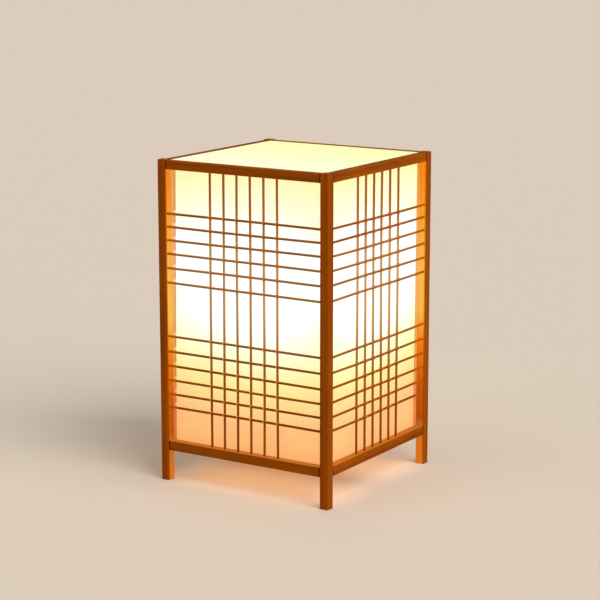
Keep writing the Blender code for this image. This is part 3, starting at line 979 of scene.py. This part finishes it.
def make_rails():
    """Top rails lit from below and bottom rails lit from above, with painted shade where they meet the
    posts.
    """
    # Painted shade starts this far short of the posts' inner faces
    joint_shade = node_box("post_front_right")[0][0] - joint_shade_width
    for level, towards in (("top", -1.0), ("bottom", 1.0)):
        for side in side_names:
            along = axis_x if side in ("front", "back") else axis_y
            make_bar(f"{level}_rail_{side}", along, ((0, 0, towards),), joint_shades=(-joint_shade, joint_shade))


def make_strips_and_crossbar():
    """Corner strips behind the side panels, and the crossbar under the lampholder, with painted light on
    top.
    """
    for corner in corner_names:
        make_bar(f"corner_strip_{corner}", axis_z)
    make_bar("crossbar", axis_x, ((0, 0, 1),))


# Lattices

def add_stick(shape, start, end, finish):
    """A round stick: a circle carried along a line that bows a little, with a slightly uneven radius.

    The bow is half a sine wave from end to end plus a weaker full wave, and the stick leans a little.
    Returns the points of its middle line.
    """
    start, end = np.array(start), np.array(end)
    length = np.linalg.norm(end - start)
    distance, inset = eased_stations(length, length / stick_stations, stick_end_ease)
    angle = round_angles(stick_sides)
    along = axis_x if abs(end[0] - start[0]) > abs(end[2] - start[2]) else axis_z
    across, up = (along + 1) % 3, (along + 2) % 3
    share = distance / length
    bows = draw.normal(0, stick_bow / 2, (2, 2))
    wave = np.stack((np.sin(math.pi * share), stick_full_wave_share * np.sin(full_turn * share)))
    leans = draw.normal(0, stick_lean / 2, 2)
    shift = bows @ wave + leans[:, None] * (2 * share - 1)
    uneven = stick_swell * (ripple(len(share), stick_sides) - 1)
    radius = stick_radius + uneven - inset[:, None]
    grid = np.empty((len(share), stick_sides, 3))
    grid[..., along] = start[along] + distance[:, None] * np.sign(end[along] - start[along])
    grid[..., across] = start[across] + shift[0][:, None] + radius * np.cos(angle)
    grid[..., up] = start[up] + shift[1][:, None] + radius * np.sin(angle)
    facing = np.cos(angle) if across == axis_y else np.sin(angle)
    glow = np.clip(stick_side_glow[finish] + stick_facing_glow * facing, 0, 1)
    shape.add_grid(grid, finish, glow=glow, capped=True)
    return grid.mean(axis=1)


def add_drop(shape, centre, finish):
    """A drop of glue: a ball that is deeper than it is wide, from pole to pole."""
    tilt = np.linspace(-quarter_turn, quarter_turn, drop_rows + 1)[:, None]
    angle = round_angles(drop_columns)
    across = drop_across * draw.uniform(*drop_spread)
    grid = np.stack(
        (
            centre[0] + across * np.cos(tilt) * np.cos(angle),
            centre[1] + drop_deep * np.broadcast_to(np.sin(tilt), (drop_rows + 1, drop_columns)),
            centre[2] + across * np.cos(tilt) * np.sin(angle),
        ),
        axis=2,
    )
    shape.add_grid(grid, finish)


def crossing(bar, upright):
    """Where two sticks cross, from the points of their middle lines: halfway in depth between the two."""
    height = bar[:, 2].mean()
    place = np.interp(height, upright[:, 2], upright[:, 0])
    height = np.interp(place, bar[:, 0], bar[:, 2])
    depth = np.interp(place, bar[:, 0], bar[:, 1]) + np.interp(height, upright[:, 2], upright[:, 1])
    return np.array((place, depth / 2, height))


def make_lattices():
    """On each side, horizontal sticks in front of vertical ones, with a drop of glue at each crossing."""
    heights, places = stick_places()
    low, high = node_box("lattice_front")
    front_plane = low[1] + stick_flat + stick_notch
    back_plane = high[1] - stick_flat
    for quarter, side in enumerate(side_names):
        shape = Shape()
        bars = []
        for height in heights:
            ends = (low[0], front_plane, height), (high[0], front_plane, height)
            bars.append(add_stick(shape, *ends, 0))
        uprights = []
        for place in places:
            ends = (place, back_plane, low[2]), (place, back_plane, high[2])
            uprights.append(add_stick(shape, *ends, 1))
        for bar in bars:
            for upright in uprights:
                add_drop(shape, crossing(bar, upright), 2)
        shape.turn(quarter)
        across = "along_x" if quarter % 2 == 0 else "along_y"
        finishes = [stick_bamboo[across], stick_bamboo["upright"], glue]
        shape.make(f"lattice_{side}_look", finishes, "lamp", "bamboo_stick", f"lattice_{side}")


# Panels

def panel_shape(low, high, along, across, outwards, margin=0.0):
    """A thin slab that bulges outwards: half a sine wave across times half a sine wave along.

    Its inner side has the second finish, but for a margin at both ends across.
    """
    grid, facing, edge = bar_grid(low, high, along, panel_edge, panel_edge, 0.0, panel_point_gap)
    middle = (low + high) / 2
    half = (high - low) / 2
    outwards = np.array(outwards, float)
    level = np.cos(quarter_turn * (grid - middle) / half)
    bulge = np.prod(np.clip(level[..., outwards == 0], 0, 1), axis=2)
    grid += panel_bulge * bulge[..., None] * outwards
    face_place = (grid + np.roll(grid, -1, axis=1))[..., across] / 2
    within = np.abs(face_place - middle[across]) < half[across] - margin
    inner = (facing @ outwards < inner_facing) & within
    shape = Shape()
    shape.add_grid(grid, finish=inner.astype(int), edge=edge, capped=True)
    return shape


def make_panels():
    """Side panels that reach the posts, and the top panel that reaches the top rails."""
    for quarter, side in enumerate(side_names):
        low, high = node_box(f"side_panel_{side}")
        sideways = axis_x if quarter % 2 == 0 else axis_y
        low[sideways] -= panel_fit
        high[sideways] += panel_fit
        shape = panel_shape(low, high, axis_z, sideways, side_directions[quarter], panel_margin)
        finishes = [side_film, inner_film]
        shape.make(f"side_panel_{side}_look", finishes, "lamp", "panel_film", f"side_panel_{side}")
    low, high = node_box("top_panel")
    low[:2] -= panel_fit
    high[:2] += panel_fit
    shape = panel_shape(low, high, axis_x, axis_y, (0, 0, 1))
    shape.make("top_panel_look", [top_film, inner_film], "lamp", "panel_film", "top_panel")


# Lampholder

def threaded_profile(radius, bore, heights, pitch, depth, shares):
    """A tube's profile, and the swell of the screw thread on it at a share of its depth for each height.

    The thread is a rounded ridge that climbs one pitch a turn.
    """
    inside = line_of(bore, heights[[-1, 0]])
    profile = np.concatenate((line_of(radius, heights), inside))
    shares = np.concatenate((shares, np.zeros(len(inside))))
    turn = np.linspace(0, 1, turned_sides, endpoint=False)
    phase = profile[:, 1:] / pitch - turn
    ridge = (0.5 + 0.5 * np.cos(full_turn * phase)) ** thread_power
    return profile, depth * ridge * shares[:, None]


def make_nipple_set():
    """Threaded nipple, washer, six-sided nut with turned-off corners, and cord gland."""
    radius, bottom, top = turned_size("nipple")
    heights = np.linspace(bottom, top, nipple_rows)
    ends = np.minimum(heights - bottom, top - heights)
    shares = np.clip(ends / nipple_thread_pitch, nipple_end_depth, 1)
    root = radius - nipple_thread_depth
    profile, swell = threaded_profile(
        root, nipple_bore, heights, nipple_thread_pitch, nipple_thread_depth, shares
    )
    make_turned("nipple", profile, zinc_steel, "lamp", "zinc_steel", swell)
    radius, bottom, top = turned_size("nipple_washer")
    ring = [(washer_bore, bottom), (radius, bottom), (radius, top), (washer_bore, top)]
    make_turned("nipple_washer", eased_profile(ring, washer_ease), zinc_steel, "lamp", "zinc_steel")
    make_nut()
    radius, bottom, top = turned_size("cord_gland")
    flange_top = bottom + gland_flange_height
    gland = [
        (gland_bore, bottom),
        (radius, bottom),
        (radius, flange_top),
        (gland_spigot, flange_top),
        (gland_spigot, top),
        (gland_bore, top),
    ]
    make_turned("cord_gland", eased_profile(gland, gland_ease), black_plastic, "lamp", "black_plastic")


def make_nut():
    """A hexagon's outline as a radius for each angle, held inside cones that turn off its corners."""
    low, high = node_box("nipple_nut")
    x_span, y_span = (high - low)[:2]
    flat = min(x_span, y_span) / 2
    heights = np.linspace(low[2], high[2], nut_rows)
    angle = round_angles(turned_sides)
    six = full_turn / 6
    first_flat = 0 if x_span < y_span else six / 2
    to_flat = (angle + first_flat + six / 2) % six - six / 2
    hexagon = flat / np.cos(to_flat)
    ends = np.minimum(heights - low[2], high[2] - heights)
    cone = flat * nut_face_share + ends * nut_cone_slope
    radius = np.minimum(hexagon[None, :], cone[:, None])
    inside = line_of(washer_bore, (high[2], low[2]))
    profile = np.concatenate((line_of(0.0, heights), inside))
    swell = np.concatenate((radius, np.zeros((len(inside), turned_sides))))
    make_turned("nipple_nut", profile, zinc_steel, "lamp", "zinc_steel", swell)


def make_holder():
    """Cup, ribbed skirt, insulator and screw shell of the lampholder."""
    radius, base, top = turned_size("holder_cup")
    cup = [
        (cup_bore, base),
        (cup_foot, base),
        (radius, base + cup_waist_rise),
        (radius, base + cup_shoulder_rise),
        (cup_spigot, base + cup_shoulder_rise),
        (cup_spigot, top),
        (cup_cavity, top),
        (cup_cavity, base + cup_ledge_rise),
        (cup_ledge, base + cup_ledge_rise),
        (cup_ledge, base + cup_waist_rise),
        (cup_foot - cup_foot_wall, base + cup_floor),
        (cup_bore, base + cup_floor),
    ]
    make_turned("holder_cup", eased_profile(cup, cup_ease), black_plastic, "lamp", "black_plastic")
    make_skirt()
    disc_radius = turned_size("holder_insulator")[0]
    make_cone("holder_insulator", disc_radius, insulator_ease, porcelain, "lamp", "porcelain_white")
    radius, bottom, top = turned_size("screw_shell")
    flange_top = bottom + shell_wall
    inside = line_of(shell_bore, np.linspace(flange_top, top, shell_rows)[::-1])
    flange = line_of(shell_bore - shell_flange, (flange_top, bottom))
    outside = line_of(radius, (bottom, top))
    make_turned("screw_shell", np.concatenate((inside, flange, outside)), brass, "lamp", "brass")


def make_skirt():
    """The skirt, with upright ribs cut into its wide part: a cosine round it, faded at both ends."""
    radius, bottom, top = turned_size("holder_skirt")
    lip_bottom = top - skirt_lip_height
    heights = np.linspace(bottom, lip_bottom, skirt_rows)
    rest = [
        (radius - skirt_lip_inset, top),
        (skirt_lip_bore, top),
        (skirt_lip_bore, lip_bottom),
        (skirt_bore, lip_bottom),
        (skirt_bore, bottom),
    ]
    profile = np.concatenate((line_of(radius, heights), rest))
    share = (heights - bottom) / (lip_bottom - bottom)
    fade = np.clip(np.minimum(share, 1 - share) / skirt_rib_fade, 0, 1) ** 0.5
    ribs = -skirt_rib_depth * (0.5 - 0.5 * np.cos(skirt_ribs * round_angles(skirt_sides)))
    swell = np.concatenate((fade, np.zeros(len(rest))))[:, None] * ribs
    make_turned("holder_skirt", profile, black_plastic, "lamp", "black_plastic", swell, sides=skirt_sides)


# Bulb

def make_bulb_foot():
    """Tip contact, the insulating cone round it and the threaded cap."""
    make_cone("bulb_tip_contact", tip_foot, tip_ease, brass, "bulb_tip", "brass")
    make_cone(
        "bulb_cap_insulator", cap_cone_foot, insulator_ease, black_plastic, "bulb_tip", "black_plastic"
    )
    bottom, top = turned_size("bulb_cap")[1:]
    heights = np.linspace(bottom, top, cap_rows)
    threaded = heights < top - cap_collar_height
    root = np.where(threaded, cap_root, cap_root + cap_thread_depth)
    shares = np.clip((heights - bottom) / cap_thread_pitch, 0, 1) * threaded
    profile, swell = threaded_profile(root, cap_bore, heights, cap_thread_pitch, cap_thread_depth, shares)
    make_turned("bulb_cap", profile, aluminium, "bulb", "cap_aluminium", swell)


def make_bulb_body():
    """The housing, whose flare is a cubic that is upright at both ends, and the globe on its rim.

    The globe is part of an ellipse turned about Z.
    """
    rim_radius, bottom, top = turned_size("bulb_housing")
    flare_bottom = bottom + housing_spigot_height
    flare_top = top - housing_rim_height
    share = np.linspace(0, 1, housing_flare_steps + 1)
    ease = share * share * (3 - 2 * share)
    flare_radius = housing_neck + (rim_radius - housing_neck) * ease
    flare = line_of(flare_radius, flare_bottom + (flare_top - flare_bottom) * share)
    rim_inside = rim_radius - housing_wall
    rim = [(rim_radius, top), (rim_inside, top), (rim_inside, flare_top)]
    inner = flare[:0:-1] - np.array((2 * housing_wall, 0.0))
    spigot_inside = line_of(housing_spigot - housing_wall, (flare_bottom, bottom))
    spigot_outside = line_of(housing_spigot, (bottom, flare_bottom))
    profile = np.concatenate((flare, rim, inner, spigot_inside, spigot_outside))
    make_turned("bulb_housing", profile, housing_plastic, "bulb", "bulb_housing_plastic")
    radius, bottom, top = turned_size("bulb_globe")
    start = -math.acos(rim_radius / radius)
    rise = (top - bottom) / (1 - math.sin(start))
    middle = top - rise
    angle = np.linspace(start, quarter_turn, globe_steps + 1)
    outside = line_of(radius * np.cos(angle), middle + rise * np.sin(angle))
    scale = np.array((1 - globe_wall / radius, 1 - globe_wall / rise))
    inside = (outside - (0.0, middle)) * scale + (0.0, middle)
    inside[0] = (rim_radius - globe_wall, bottom)
    outside[-1, 0] = 0.0
    inside[-1, 0] = 0.0
    profile = np.concatenate((inside[::-1], outside))
    make_turned("bulb_globe", profile, diffuser, "bulb", "bulb_diffuser", closed=False)


def finish_hidden_nodes():
    """Pieces inside the lampholder and the bulb keep their solids and get a finish."""
    finishes = {
        "centre_contact": brass,
        "terminal_screw_left": brass,
        "terminal_screw_right": brass,
        "led_board": board,
        "driver_board": board,
    }
    for node, finish in finishes.items():
        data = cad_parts[node].data
        data.materials.clear()
        data.materials.append(finish)


# Stage, light and camera

def make_floor():
    """A plain pale floor."""
    material, tree, shader, _ = new_material("pale_floor")
    feed(tree, shader, {"Base Color": floor_colour, "Roughness": floor_roughness})
    corners = floor_half_size * np.array(((-1, -1, 0), (1, -1, 0), (1, 1, 0), (-1, 1, 0)), float)
    data = bpy.data.meshes.new("floor")
    data.from_pydata(corners, [], [(0, 1, 2, 3)])
    data.materials.append(material)
    floor = add_object("floor", data)


def make_light():
    """Even light all round, and soft far lamps on the right and the left.

    Azimuth 0 shines along +Y and 90 along -X, and elevation is above the floor.
    """
    world = bpy.data.worlds.new("studio")
    world.use_nodes = True
    background = world.node_tree.nodes["Background"]
    feed(world.node_tree, background, {"Color": studio_colour, "Strength": studio_level})
    bpy.context.scene.world = world
    for name, azimuth, elevation, strength in studio_lamps:
        data = bpy.data.lights.new(name, "SUN")
        data.energy = strength
        data.angle = sun_angle
        data.color = studio_colour
        lamp = add_object(name, data)
        lamp.rotation_euler = (math.radians(90 - elevation), 0.0, math.radians(azimuth))


def make_camera():
    """The camera from its place, yaw, pitch and roll."""
    data = bpy.data.cameras.new("camera")
    data.lens = camera_lens
    data.sensor_width = camera_sensor
    data.clip_end = camera_reach
    camera = add_object("camera", data)
    turn = Matrix.Rotation(-camera_yaw, 4, "Z") @ Matrix.Rotation(quarter_turn + camera_pitch, 4, "X")
    camera.matrix_world = Matrix.Translation(camera_place) @ turn @ Matrix.Rotation(camera_roll, 4, "Z")
    bpy.context.scene.camera = camera


make_posts()
make_rails()
make_strips_and_crossbar()
make_lattices()
make_panels()
make_nipple_set()
make_holder()
make_bulb_foot()
make_bulb_body()
finish_hidden_nodes()
make_floor()
make_light()
make_camera()
bpy.context.scene.view_settings.view_transform = "Standard"

bpy.context.view_layer.update()
